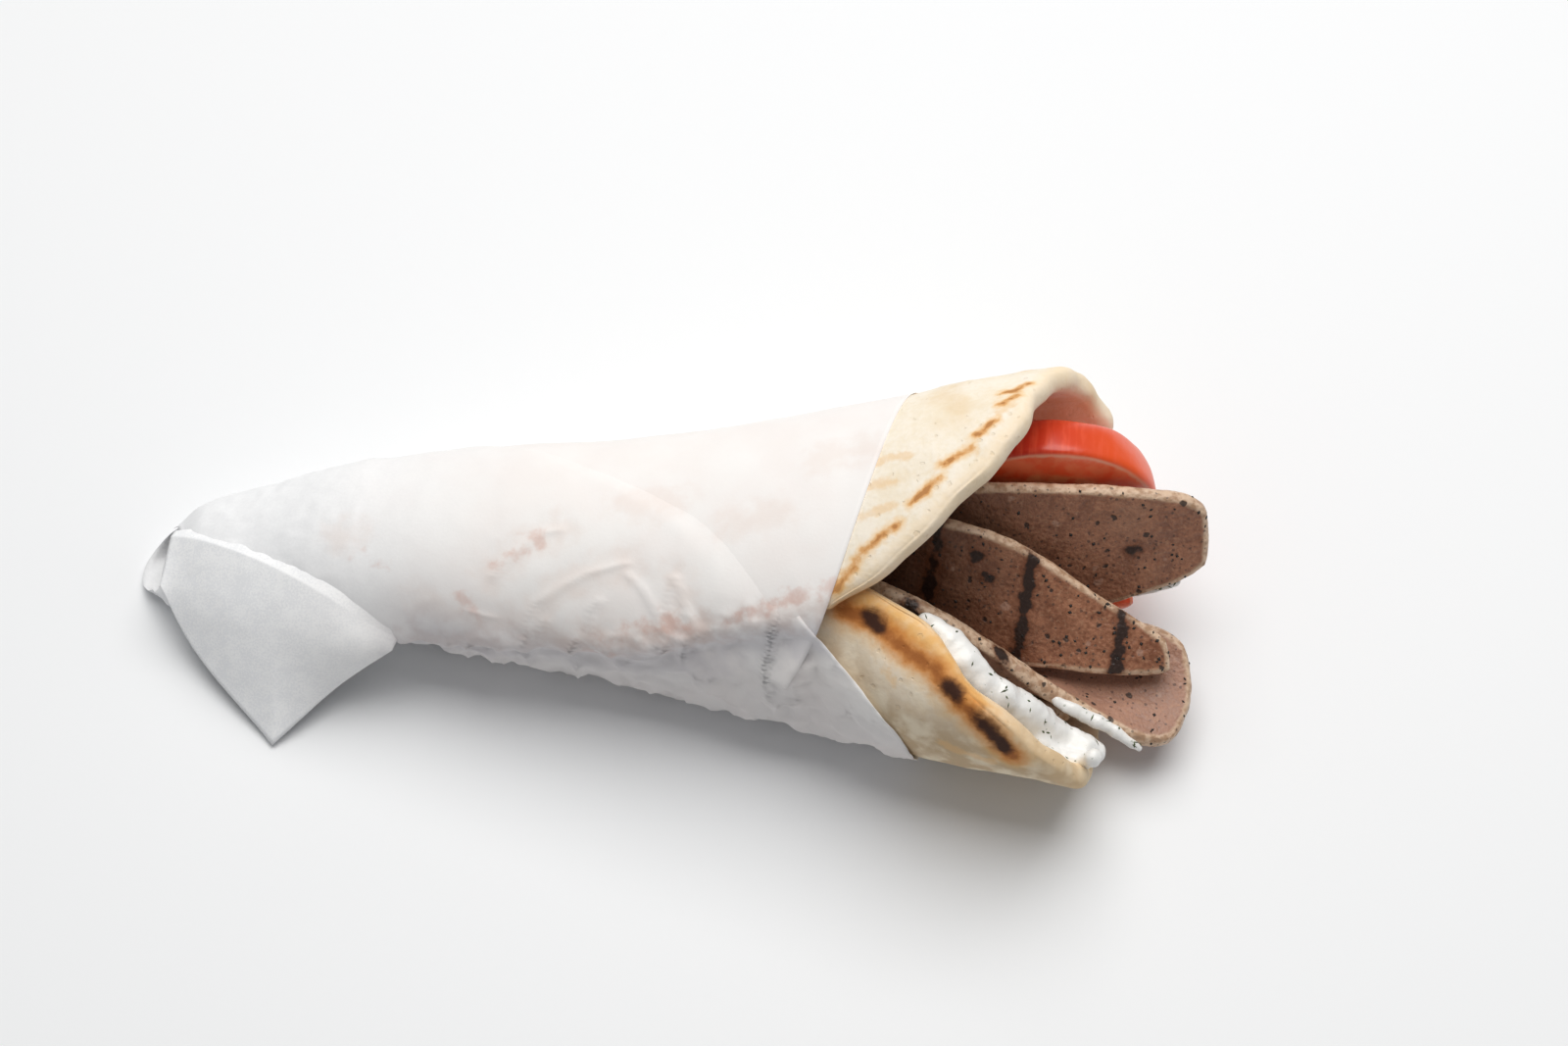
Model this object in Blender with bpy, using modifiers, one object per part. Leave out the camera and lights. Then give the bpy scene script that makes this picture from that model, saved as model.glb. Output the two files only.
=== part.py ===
"""Gyro wrap: a grilled flatbread rolled round sliced meat, tomato and yogurt sauce, half in paper.

The roll lies along X with its open mouth towards +X. Y runs to the back and Z is up, and z = 0 is the
surface that the paper's flattened underside rests on. Sizes are in millimetres, and MM turns them into
Blender's metres. A place on the roll is a station x along it and an angle round it in degrees, which
starts at the back (+Y), passes over the top at 90 and comes down the front (-Y) to the underside at 270.
"""

from math import cos, exp, radians, sin

import bpy
from mathutils import Vector

MM = 0.001

# Clearance between neighbouring pieces.
GAP = 0.35

# The roll: half its outer width, station by station. It is wider than tall and pressed flat underneath.
HALF_WIDTHS = [(-76.0, 16.6), (-38.0, 23.2), (2.0, 27.8), (32.0, 32.8), (62.0, 39.4), (92.0, 43.4)]
HEIGHT_RATIO = 0.80        # height over width
SETTLE = 0.90              # centre height over half height: what would lie lower is pressed flat
SHOULDER = [(-20.0, 0.0), (30.0, 2.6), (78.0, 4.4)]  # how far the tomato pushes the upper back out
SHOULDER_ANGLE = 38.0
SHOULDER_SPREAD = 46.0

# The bread: one round flatbread, its outer flap lapped over its own front edge.
BREAD = 5.0                # thickness
BREAD_ROUND = 1.7          # rounding of its edges
BREAD_TAIL_X = -74.0       # narrow end, inside the paper
NOTCH = 127.0              # angle at which the flap crosses the front lip
HIDDEN_LAP = 46.0          # how far the inner edge runs back under the flap at the tail
FLAP_ADVANCE = 44.0        # how far the flap's free edge comes down the front at the tail
TUCKED_UNTIL = 310.0       # angle at which the lapped layer has come out to the roll's own width
TUCK_RUN = 110.0           # angle over which it does so
LIP_RELEASE = (34.0, 62.0)  # stations over which the front lip opens out to that width too

# The mouth's rim from the notch down the front, round underneath and up the back to the notch again.
RIM = [(127.0, 34.0), (138.0, 48.5), (153.0, 60.0), (187.0, 82.0), (215.0, 88.0), (270.0, 89.0),
       (340.0, 87.0), (368.0, 82.0), (396.0, 73.5), (420.0, 68.5), (440.0, 61.5), (463.0, 49.0),
       (487.0, 34.0)]

# The paper: one sheet that starts on the back, passes down the front, under and up, and ends under itself.
PAPER = 0.5
PAPER_TAIL_X = -113.0
PAPER_ENDS = (20.0, 525.0)  # angles of its outer and inner ends, a turn and a third apart
PAPER_LIFTS = (2.3, 1.05)   # of the outer and the inner layer over the bread, at mid-thickness
LAYER_CHANGE = (215.0, 325.0)  # angles between which it goes from one to the other

# The sheet's straight cut edge, which winds round the roll.
PAPER_EDGE = [(20.0, -44.0), (61.0, -19.0), (99.0, 12.0), (137.0, 31.0), (179.0, 49.5), (230.0, 54.0),
              (278.0, 55.6), (330.0, 52.0), (397.0, 44.0), (453.0, 37.0), (498.0, 31.0), (525.0, 26.0)]

# Half width and half height of the empty paper past the bread's end, and how far forward it lies.
TAIL_WIDTH = [(-113.0, 7.0), (-100.0, 11.0), (-84.0, 14.5), (-66.0, 19.0)]
TAIL_HEIGHT = [(-113.0, 5.0), (-100.0, 8.0), (-84.0, 11.0), (-66.0, 15.2)]
TAIL_SHIFT = [(-113.0, -3.5), (-100.0, -2.0), (-84.0, -0.6), (-66.0, 0.0)]
TAIL_BLEND = (-82.0, -58.0)
TAIL_CLEARANCE = 1.3       # the empty tail stands this far off the table: the roll alone carries the wrap
TAIL_DESCENT = (-125.0, -103.0)  # stations over which it comes down to it, on the middle line
FOOT_ROUNDING = 70.0       # how quickly that place moves towards the roll away from the middle line


def smooth(t):
    """0 below 0, 1 above 1 and a smooth rise between."""
    t = min(max(t, 0.0), 1.0)
    return t * t * (3.0 - 2.0 * t)


def ramp(span, x):
    """Smooth rise from 0 to 1 as x passes through a span."""
    return smooth((x - span[0]) / (span[1] - span[0]))


def keyed(keys, x):
    """Value at x on a smooth curve through (x, value) keys, held flat past the ends."""
    if x <= keys[0][0]:
        return keys[0][1]
    if x >= keys[-1][0]:
        return keys[-1][1]
    i = max(k for k in range(len(keys) - 1) if keys[k][0] <= x)

    def slope(k):
        low, high = max(k - 1, 0), min(k + 1, len(keys) - 1)
        return (keys[high][1] - keys[low][1]) / (keys[high][0] - keys[low][0])

    (x0, v0), (x1, v1) = keys[i], keys[i + 1]
    run = x1 - x0
    t = (x - x0) / run
    rise = v0 + (v1 - v0) * smooth(t)
    return rise + run * t * (1.0 - t) * (slope(i) * (1.0 - t) - slope(i + 1) * t)


def through(points, t):
    """Point at t, from 0 to 1, on a smooth curve through evenly weighted (x, y, z) points."""
    return Vector([keyed([(k, p[axis]) for k, p in enumerate(points)], t * (len(points) - 1))
                   for axis in range(3)])


def material(name, colour, roughness):
    made = bpy.data.materials.new(name)
    made.use_nodes = True
    shader = made.node_tree.nodes["Principled BSDF"]
    shader.inputs["Base Color"].default_value = (*colour, 1.0)
    shader.inputs["Roughness"].default_value = roughness
    shader.inputs["Metallic"].default_value = 0.0
    return made


def adopt(piece, name, collection):
    """Names a new object and moves it into a collection of the file."""
    piece.name = piece.data.name = name
    for old in list(piece.users_collection):
        old.objects.unlink(piece)
    collection.objects.link(piece)


def sheet(name, across, along, place, finish, collection):
    """A grid whose points are put at place(u, v), with u and v from 0 to 1. place returns millimetres."""
    bpy.ops.mesh.primitive_grid_add(x_subdivisions=across, y_subdivisions=along, size=1.0)
    made = bpy.context.object
    adopt(made, name, collection)
    for vertex in made.data.vertices:
        vertex.co = Vector(place(vertex.co.x + 0.5, vertex.co.y + 0.5)) * MM
    made.data.materials.append(finish)
    return made


def thicken(piece, thickness, round_over=0.0, segments=2):
    """Gives a sheet its thickness, half on each side, and rounds its cut edges."""
    solid = piece.modifiers.new("Thickness", "SOLIDIFY")
    solid.thickness = thickness * MM
    solid.offset = 0.0
    solid.use_even_offset = True
    if round_over:
        bevel = piece.modifiers.new("Rounded edge", "BEVEL")
        bevel.width = round_over * MM
        bevel.segments = segments
        bevel.limit_method = "ANGLE"
        bevel.angle_limit = radians(50.0)
    piece.data.shade_smooth()


# ---- The roll's surface -------------------------------------------------------------------------


def shoulder(x, angle):
    """How far the upper back corner stands out beyond the plain oval."""
    away = ((angle + 180.0) % 360.0 - 180.0 - SHOULDER_ANGLE) / SHOULDER_SPREAD
    return keyed(SHOULDER, x) * exp(-away * away)


def on_roll(x, angle, lift, lowest):
    """Point lift mm outside the bread's outer skin, and nowhere lower than lowest."""
    wide = keyed(HALF_WIDTHS, x)
    tall = wide * HEIGHT_RATIO
    lift += shoulder(x, angle)
    turn = radians(angle)
    z = PAPER + GAP + SETTLE * tall + (tall + lift) * sin(turn)
    return Vector((x, (wide + lift) * cos(turn), max(z, lowest)))


# ---- Bread --------------------------------------------------------------------------------------


def bread_point(u, v):
    """u runs round the roll from the hidden inner edge to the flap's free edge, v from tail to mouth."""
    x = BREAD_TAIL_X + (keyed(RIM, NOTCH + 360.0 * u) - BREAD_TAIL_X) * v
    start = NOTCH - HIDDEN_LAP * (1.0 - v)
    end = NOTCH + 360.0 + FLAP_ADVANCE * (1.0 - v)
    angle = start + (end - start) * u
    tucked = smooth((TUCKED_UNTIL - angle) / TUCK_RUN)
    tucked *= 1.0 - ramp(LIP_RELEASE, x) * ramp((NOTCH, NOTCH + 40.0), angle)
    lift = -BREAD / 2.0 - (BREAD + GAP) * tucked
    return on_roll(x, angle, lift, PAPER + 1.5 * GAP + BREAD / 2.0)


def make_bread(collection):
    finish = material("bread", (0.93, 0.84, 0.69), 0.75)
    bread = sheet("bread", 36, 13, bread_point, finish, collection)
    thicken(bread, BREAD, BREAD_ROUND)


# ---- Paper --------------------------------------------------------------------------------------


def on_paper(x, angle, lift):
    """Point lift mm outside the bread's skin, or outside the narrower empty tail past the bread."""
    lowest = PAPER / 2.0
    full = on_roll(x, angle, lift, lowest)
    wide = keyed(TAIL_WIDTH, x) + lift
    tall = keyed(TAIL_HEIGHT, x)
    turn = radians(angle)
    clear = lowest + TAIL_CLEARANCE * (1.0 - ramp(TAIL_DESCENT, x - FOOT_ROUNDING * cos(turn) ** 2))
    z = tall + (tall + lift) * sin(turn)
    loose = Vector((x, keyed(TAIL_SHIFT, x) + wide * cos(turn), max(z, clear)))
    return loose.lerp(full, ramp(TAIL_BLEND, x))


def paper_point(u, v):
    """u runs round from the sheet's outer end to its inner end, v from the open tail to the cut edge."""
    angle = PAPER_ENDS[0] + (PAPER_ENDS[1] - PAPER_ENDS[0]) * u
    x = PAPER_TAIL_X + (keyed(PAPER_EDGE, angle) - PAPER_TAIL_X) * v
    outer, inner = PAPER_LIFTS
    return on_paper(x, angle, outer + (inner - outer) * ramp(LAYER_CHANGE, angle))


# The loose corner of the sheet hangs in front of the tail from a fold, at an angle for each station. The
# fold passes through the tail's wall, and past the bread's end it lies on the outer layer.
FLAP_FOLD = [(-106.0, 84.0), (-94.0, 101.0), (-82.0, 130.0), (-70.0, 142.0), (-54.0, 168.0)]
FLAP_SINK = [(-83.0, 0.6), (-73.0, 3.1)]

# Its free edges, from the tail's end to the tip that touches the table and back to the fold's end.
FLAP_FREE = [(-106.7, -9.0, 8.0), (-98.0, -21.5, 3.4), (-79.0, -40.0, 0.9), (-66.5, -28.0, 7.5),
             (-55.0, -24.2, 18.0)]
FLAP_BULGE = 2.5


def flap_point(u, v):
    """u runs along the fold, v from the fold down to the two free edges that meet at the tip."""
    x = FLAP_FOLD[0][0] + (FLAP_FOLD[-1][0] - FLAP_FOLD[0][0]) * u
    fold = on_paper(x, keyed(FLAP_FOLD, x), keyed(FLAP_SINK, x))
    point = fold.lerp(through(FLAP_FREE, u), v)
    bulge = FLAP_BULGE * sin(radians(180.0) * u) * sin(radians(180.0) * v)
    return point + Vector((0.0, -bulge, bulge))


def make_paper(collection, cutters):
    finish = material("paper", (0.93, 0.93, 0.94), 0.55)
    paper = sheet("paper_wrap", 48, 14, paper_point, finish, collection)
    thicken(paper, PAPER)
    flap = sheet("loose_corner", 10, 5, flap_point, finish, cutters)
    thicken(flap, PAPER)
    flap.hide_render = True
    flap.display_type = "WIRE"
    union = paper.modifiers.new("Loose corner", "BOOLEAN")
    union.operation = "UNION"
    union.solver = "EXACT"
    union.object = flap


# ---- Fillings -----------------------------------------------------------------------------------

MEAT = 3.6                 # thickness of a slice
MEAT_ROUND = 0.9
MEAT_COLOUR = (0.36, 0.22, 0.17)

# Each slice hangs between three lines: a row gives its upper, middle and lower point at one place along
# it, as (x, y, z), from inside the roll to the end that sticks out.
MEAT_SLICES = {
    "meat_slice_back": [
        ((-18, 7.5, 25), (-18, 7.2, 17), (-18, 7, 9.5)),
        ((8, 11, 32), (8, 8.5, 21), (8, 6, 10)),
        ((34, 13.5, 37), (34, 8.6, 24), (34, 4.5, 10.5)),
        ((52, 15, 39.5), (52, 8.6, 26), (52, 3, 11.5)),
        ((70, 16.5, 40.5), (70, 9.2, 27), (70, 2.6, 13)),
        ((88, 18, 40), (88, 11.5, 28.5), (88, 4.8, 16)),
        ((105, 19, 38), (107, 14.6, 30), (107, 9.8, 23)),
    ],
    "meat_slice_grilled": [
        ((-18, 2.8, 26), (-18, 2.4, 17), (-18, 2.2, 9.5)),
        ((8, 5, 33), (8, 2.8, 21), (8, 1, 10)),
        ((34, 7, 38), (34, 2.4, 24), (34, -1.5, 11)),
        ((52, 7.5, 39), (52, -0.4, 26), (52, -7, 13.4)),
        ((68, 5.8, 35.5), (68, -3.2, 25), (68, -11, 15.6)),
        ((84, 1.2, 27.3), (84, -6, 21.6), (84, -12, 16.4)),
        ((99, -3.4, 19.5), (101, -6.8, 18), (101, -9.6, 16.4)),
    ],
    "meat_slice_curled": [
        ((-18, -2, 25), (-18, -2.3, 17), (-18, -2.4, 9.5)),
        ((8, -1, 32), (8, -2.8, 21), (8, -4, 10)),
        ((34, -6, 37), (34, -8, 23.5), (34, -6, 10.5)),
        ((50, -11, 36.5), (50, -12, 22), (50, -10, 10)),
        ((66, -15.2, 29), (66, -15.5, 15.5), (66, -8, 9.7)),
        ((82, -19.8, 16.4), (82, -11, 10.8), (82, 1, 12)),
        ((101, -26, 10.5), (107, -12.5, 10), (103, 2, 14.6)),
    ],
    "meat_slice_front": [
        ((-12, -7, 22), (-12, -7, 15.5), (-12, -7, 9.5)),
        ((8, -7.5, 29.5), (8, -8.6, 19.5), (8, -8.4, 10.4)),
        ((34, -12, 33), (34, -13.2, 21), (34, -10.8, 10.6)),
        ((50, -15.6, 33.5), (50, -17.6, 20), (50, -14.4, 10)),
        ((62, -18.8, 28), (62, -19.8, 16), (62, -15.4, 9)),
        ((73, -21, 18), (73, -19.6, 11), (73, -16, 8.8)),
        ((83, -21.4, 11.6), (83, -19.2, 10), (83, -17.4, 9.2)),
    ],
}
SLICE_END = 0.06           # share of the length over which an end narrows
SLICE_END_WIDTH = 0.7     # share of the width left at the very end


def slice_point(rows):
    """Returns place(u, v) for a slice hung between three lines, with its two ends rounded in."""
    upper, middle, lower = zip(*rows)

    def place(u, v):
        from_end = min(min(u, 1.0 - u) / SLICE_END, 1.0)
        share = SLICE_END_WIDTH + (1.0 - SLICE_END_WIDTH) * (1.0 - (1.0 - from_end) ** 2) ** 0.5
        w = 0.5 + (v - 0.5) * share
        point = through(upper, u) * (1.0 - 3.0 * w + 2.0 * w * w)
        point += through(middle, u) * (4.0 * w - 4.0 * w * w)
        return point + through(lower, u) * (2.0 * w * w - w)

    return place


def make_meat(collection):
    finish = material("meat", MEAT_COLOUR, 0.6)
    for name, rows in MEAT_SLICES.items():
        piece = sheet(name, 16, 4, slice_point(rows), finish, collection)
        thicken(piece, MEAT, MEAT_ROUND, 1)


# Round slices with one side cut straight: radius, thickness, centre of the round, distance from it to the
# straight cut, turn about Z and lean about X.
TOMATO_ROUND = 1.6
TOMATOES = {
    "tomato_slice_back": (22.8, 10.5, (74.0, 25.6, 23.8), 6.0, 5.0, 90.0),
    "tomato_slice_low": (19.0, 4.5, (75.5, 6.0, 9.2), 0.0, 5.0, 14.0),
}


def make_tomatoes(collection, cutters):
    finish = material("tomato", (0.78, 0.10, 0.04), 0.25)
    for name, (radius, thickness, centre, cut, turn, lean) in TOMATOES.items():
        bpy.ops.mesh.primitive_cylinder_add(vertices=40, radius=radius * MM, depth=thickness * MM)
        slice_ = bpy.context.object
        adopt(slice_, name, collection)
        slice_.rotation_euler = (radians(lean), 0.0, radians(turn))
        slice_.location = Vector(centre) * MM
        slice_.data.materials.append(finish)
        bpy.ops.mesh.primitive_cube_add(size=1.0)
        lower = bpy.context.object
        adopt(lower, name + "_other_half", cutters)
        lower.data.transform(lower.matrix_world)
        lower.scale = Vector((3.0 * radius, 2.0 * radius, 3.0 * thickness)) * MM
        lower.location = (0.0, -(radius + cut) * MM, 0.0)
        lower.parent = slice_
        lower.hide_render = True
        lower.display_type = "WIRE"
        half = slice_.modifiers.new("Cut in half", "BOOLEAN")
        half.operation = "DIFFERENCE"
        half.solver = "EXACT"
        half.object = lower
        bevel = slice_.modifiers.new("Soft skin", "BEVEL")
        bevel.width = TOMATO_ROUND * MM
        bevel.segments = 2
        bevel.limit_method = "ANGLE"
        bevel.angle_limit = radians(40.0)
        slice_.data.shade_smooth()


# The sauce lies against the inside of the front lip: how far below the rim its band starts, and its size.
SAUCE_X = (50.0, 86.0)
SAUCE_TOP = [(47.0, 143.0), (56.0, 153.0), (66.0, 168.0), (78.0, 186.0), (90.0, 206.0)]
SAUCE_SPAN = [(47.0, 30.0), (66.0, 40.0), (90.0, 26.0)]
SAUCE = 6.0
SAUCE_LUMP = 0.6


def sauce_point(u, v):
    """u runs along the lip towards the mouth, v from the band's top edge down the lip's inner face."""
    x = SAUCE_X[0] + (SAUCE_X[1] - SAUCE_X[0]) * u
    angle = keyed(SAUCE_TOP, x) + keyed(SAUCE_SPAN, x) * v
    ramped = 1.0 - ramp(LIP_RELEASE, x) * ramp((NOTCH, NOTCH + 40.0), angle)
    lump = SAUCE_LUMP * sin(0.55 * x) * sin(radians(9.0 * angle))
    lift = -BREAD - 5.0 * GAP - SAUCE / 2.0 - (BREAD + GAP) * ramped - SAUCE_LUMP + lump
    return on_roll(x, angle, lift, PAPER + 3.0 * GAP + BREAD + SAUCE / 2.0)


def make_sauce(collection):
    finish = material("yogurt_sauce", (0.93, 0.92, 0.88), 0.35)
    sauce = sheet("yogurt_sauce", 14, 5, sauce_point, finish, collection)
    thicken(sauce, SAUCE, 1.6)


def main():
    for old in list(bpy.data.objects):
        bpy.data.objects.remove(old)
    pieces = bpy.data.collections.new("gyro_wrap")
    cutters = bpy.data.collections.new("cutters")
    for collection in (pieces, cutters):
        bpy.context.scene.collection.children.link(collection)
    make_bread(pieces)
    make_paper(pieces, cutters)
    make_meat(pieces)
    make_tomatoes(pieces, cutters)
    make_sauce(pieces)


main()
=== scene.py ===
# %% [markdown]
# # A gyro wrap
# A grilled flatbread is rolled round slices of gyro meat, a tomato slice and yogurt sauce, and its lower half
# sits in a sheet of thin white paper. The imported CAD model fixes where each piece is, and this notebook gives
# every piece the shape and finish that a camera sees: puffed edges, grill marks, crumpled paper, wet tomato.

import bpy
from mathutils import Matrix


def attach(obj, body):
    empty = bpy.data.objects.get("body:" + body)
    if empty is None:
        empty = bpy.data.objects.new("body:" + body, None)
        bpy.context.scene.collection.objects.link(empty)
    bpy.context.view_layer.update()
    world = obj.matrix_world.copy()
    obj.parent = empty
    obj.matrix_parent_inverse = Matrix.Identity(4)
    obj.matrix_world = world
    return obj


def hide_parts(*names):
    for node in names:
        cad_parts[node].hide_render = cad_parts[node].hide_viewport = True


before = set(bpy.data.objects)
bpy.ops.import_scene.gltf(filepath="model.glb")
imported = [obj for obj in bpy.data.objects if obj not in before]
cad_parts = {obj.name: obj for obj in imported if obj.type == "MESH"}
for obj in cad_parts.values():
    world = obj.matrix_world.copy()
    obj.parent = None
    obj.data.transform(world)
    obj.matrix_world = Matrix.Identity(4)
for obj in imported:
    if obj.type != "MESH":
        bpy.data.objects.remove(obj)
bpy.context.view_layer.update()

import math

import bpy
import numpy as np
from mathutils import Quaternion, Vector, kdtree, noise

MM = 0.001
bpy.ops.object.select_all(action="DESELECT")
noise.seed_set(7)

# %% [markdown]
# ## Helpers for shapes
# Every place on the roll is a station x along it, in millimetres, and an angle round it, in degrees: 0 is the
# back, 90 the top, 180 the front and 270 the underside. Smooth curves through a few keys give its width, its
# rim and the paper's cut edge. The helpers take whole arrays, so a fine mesh costs no more than a coarse one.

# %% Smooth curves
def smooth(t):
    t = np.clip(t, 0.0, 1.0)
    return t * t * (3.0 - 2.0 * t)


def ramp(span, x):
    return smooth((x - span[0]) / (span[1] - span[0]))


def keyed(keys, x):
    """Values at x on a smooth curve through (x, value) keys, held flat past the ends."""
    at, value = np.array(keys, float).T
    x = np.clip(np.asarray(x, float), at[0], at[-1])
    last = len(at) - 1
    low, high = np.maximum(np.arange(last + 1) - 1, 0), np.minimum(np.arange(last + 1) + 1, last)
    slope = (value[high] - value[low]) / (at[high] - at[low])
    i = np.clip(np.searchsorted(at, x, "right") - 1, 0, last - 1)
    run = at[i + 1] - at[i]
    t = (x - at[i]) / run
    rise = value[i] + (value[i + 1] - value[i]) * smooth(t)
    return rise + run * t * (1.0 - t) * (slope[i] * (1.0 - t) - slope[i + 1] * t)


def through(places, t):
    """Points at t, from 0 to 1, on a smooth curve through evenly weighted (x, y, z) places."""
    places = np.array(places, float)
    keys = np.arange(len(places))
    return np.stack([keyed(list(zip(keys, places[:, axis])), t * keys[-1]) for axis in range(3)], -1)


def swirl(places, size, seed, detail=3):
    """A smooth random value from about -1 to 1 at each place, with lumps of about size mm."""
    shift = Vector((seed * 17.3, seed * 5.9, seed * 11.1))
    return np.array([noise.fractal(Vector(p) / size + shift, 0.9, 2.0, detail) for p in places])


# %% The roll's surface
PAPER, GAP, BREAD = 0.5, 0.35, 5.0
HALF_WIDTHS = [(-76.0, 16.6), (-38.0, 23.2), (2.0, 27.8), (32.0, 32.8), (62.0, 39.4), (92.0, 43.4)]
HEIGHT_RATIO, SETTLE = 0.80, 0.90
SHOULDER = [(-20.0, 0.0), (30.0, 2.6), (78.0, 4.4)]
SHOULDER_ANGLE, SHOULDER_SPREAD = 38.0, 46.0


def on_roll(x, angle, lift=0.0, lowest=PAPER + 1.5 * GAP):
    """Points lift mm outside the bread's outer skin, and nowhere lower than lowest."""
    x, angle = np.asarray(x, float), np.asarray(angle, float)
    away = ((angle + 180.0) % 360.0 - 180.0 - SHOULDER_ANGLE) / SHOULDER_SPREAD
    out = lift + keyed(SHOULDER, x) * np.exp(-away * away)
    wide, turn = keyed(HALF_WIDTHS, x), np.radians(angle)
    tall = wide * HEIGHT_RATIO
    z = PAPER + GAP + SETTLE * tall + (tall + out) * np.sin(turn)
    return np.stack([x, (wide + out) * np.cos(turn), np.maximum(z, lowest)], -1)


# %% Meshes in millimetres
def places_of(piece):
    flat = np.empty(len(piece.data.vertices) * 3)
    piece.data.vertices.foreach_get("co", flat)
    return flat.reshape(-1, 3) / MM


def put(piece, places):
    piece.data.vertices.foreach_set("co", (np.asarray(places) * MM).ravel())
    piece.data.update()


def normals_of(piece):
    flat = np.empty(len(piece.data.vertices) * 3, np.float32)
    piece.data.vertex_normals.foreach_get("vector", flat)
    return flat.reshape(-1, 3)


def note(piece, name, values):
    """Stores one number at each vertex for a material to read."""
    layer = piece.data.attributes.new(name, "FLOAT", "POINT")
    layer.data.foreach_set("value", np.asarray(values, np.float32))


def grid_sheet(name, across, along, place):
    """A fine grid with its points put at place(u, v), u and v from 0 to 1."""
    bpy.ops.object.select_all(action="DESELECT")
    bpy.ops.mesh.primitive_grid_add(x_subdivisions=across, y_subdivisions=along, size=1.0)
    piece = bpy.context.object
    piece.name = piece.data.name = name
    unit = places_of(piece) * MM + 0.5
    put(piece, place(unit[:, 0], unit[:, 1]))
    return piece


def use(piece, kind, **settings):
    """Adds a modifier, sets it and applies it."""
    bpy.context.view_layer.objects.active = piece
    added = piece.modifiers.new(kind.title(), kind)
    for key, value in settings.items():
        setattr(added, key, value)
    bpy.ops.object.modifier_apply(modifier=added.name)


def edge_distance(piece):
    """Distance in mm from each vertex to the nearest open edge of the sheet."""
    places = places_of(piece)
    sides = np.array([e.vertices[:] for e in piece.data.edges])
    faces = np.zeros(len(sides), int)
    corner_edges = np.empty(len(piece.data.loops), int)
    piece.data.loops.foreach_get("edge_index", corner_edges)
    np.add.at(faces, corner_edges, 1)
    rim = np.unique(sides[faces == 1])
    tree = kdtree.KDTree(len(rim))
    for k in rim:
        tree.insert(places[k], int(k))
    tree.balance()
    return np.array([tree.find(p)[2] for p in places])


def thicken(piece, thickness, round_over):
    """Gives a sheet its thickness, with cut edges that are round instead of square."""
    from_edge = edge_distance(piece)
    share = np.sqrt(1.0 - (1.0 - np.clip(from_edge / round_over, 0.0, 1.0)) ** 2)
    group = piece.vertex_groups.new(name="thickness")
    for k, s in enumerate(share):
        group.add([k], float(s), "REPLACE")
    use(piece, "SOLIDIFY", thickness=thickness * MM, offset=0.0, vertex_group="thickness",
        thickness_vertex_group=0.14)


def relief(piece, size, height, seed, detail=3, mask=1.0):
    """Pushes the surface in and out by up to height mm, in lumps of size mm."""
    places = places_of(piece)
    push = swirl(places, size, seed, detail) * height * mask
    put(piece, places + normals_of(piece) * push[:, None])


def distance_to(places, strokes, lift=None):
    """Distance in mm from each place to the nearest stroke, a line through (station, angle) marks."""
    best = np.full(len(places), 60.0)
    for stroke in strokes:
        x, angle = np.array(stroke, float).T
        path = on_roll(x, angle, lift(x, angle) if lift else 0.0)
        for a, b in zip(path, path[1:]):
            run = b - a
            t = np.clip((places - a) @ run / (run @ run), 0.0, 1.0)
            best = np.minimum(best, np.linalg.norm(places - a - t[:, None] * run, axis=1))
    return best


def finish_piece(piece, material, slot, *nodes):
    """Smooth shading, its material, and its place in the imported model."""
    piece.data.shade_smooth()
    piece.data.materials.clear()
    piece.data.materials.append(material)
    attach(piece, "root")
    if nodes:
        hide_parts(*nodes)
    print(piece.name, "triangles:", sum(len(p.vertices) - 2 for p in piece.data.polygons))


# %% [markdown]
# ## Helpers for finishes
# A finish is a small tree of nodes. Patterns are placed by object coordinates, so their size is a real size:
# a noise of scale 1000 has lumps of one millimetre. The grain group is used by bread, paper, meat and sauce,
# because all of them vary twice: in broad clouds and in fine specks.

# %% Node helpers
def add(tree, kind, inputs=None, **settings):
    made = tree.nodes.new("ShaderNode" + kind)
    for key, value in settings.items():
        setattr(made, key, value)
    for key, value in (inputs or {}).items():
        if isinstance(value, bpy.types.NodeSocket):
            tree.links.new(value, made.inputs[key])
        else:
            made.inputs[key].default_value = value
    return made


def sum_of(tree, operation, a, b=0.0, c=0.0):
    return add(tree, "Math", {0: a, 1: b, 2: c}, operation=operation).outputs[0]


def fade(tree, value, start, end, low=0.0, high=1.0):
    """A smooth step from low to high as the value goes from start to end."""
    return add(tree, "MapRange", {0: value, 1: start, 2: end, 3: low, 4: high},
               interpolation_type="SMOOTHSTEP").outputs[0]


def blend(tree, share, a, b):
    """A colour from a to b; each is a socket or three linear numbers."""
    mixed = add(tree, "Mix", {0: share}, data_type="RGBA")
    for key, colour in ((6, a), (7, b)):
        if isinstance(colour, bpy.types.NodeSocket):
            tree.links.new(colour, mixed.inputs[key])
        else:
            mixed.inputs[key].default_value = (*colour, 1.0)
    return mixed.outputs[2]


def stored(tree, name):
    return add(tree, "Attribute", attribute_name=name).outputs["Fac"]


def cloud(tree, size, detail=3.0, stretch=None):
    """Noise with lumps of size mm, drawn out along an axis if stretch is given."""
    where = add(tree, "TexCoord").outputs["Object"]
    if stretch:
        where = add(tree, "Mapping", {"Vector": where, "Scale": stretch}).outputs[0]
    return add(tree, "TexNoise", {"Vector": where, "Scale": 1.0 / (size * MM), "Detail": detail}).outputs[0]


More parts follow.
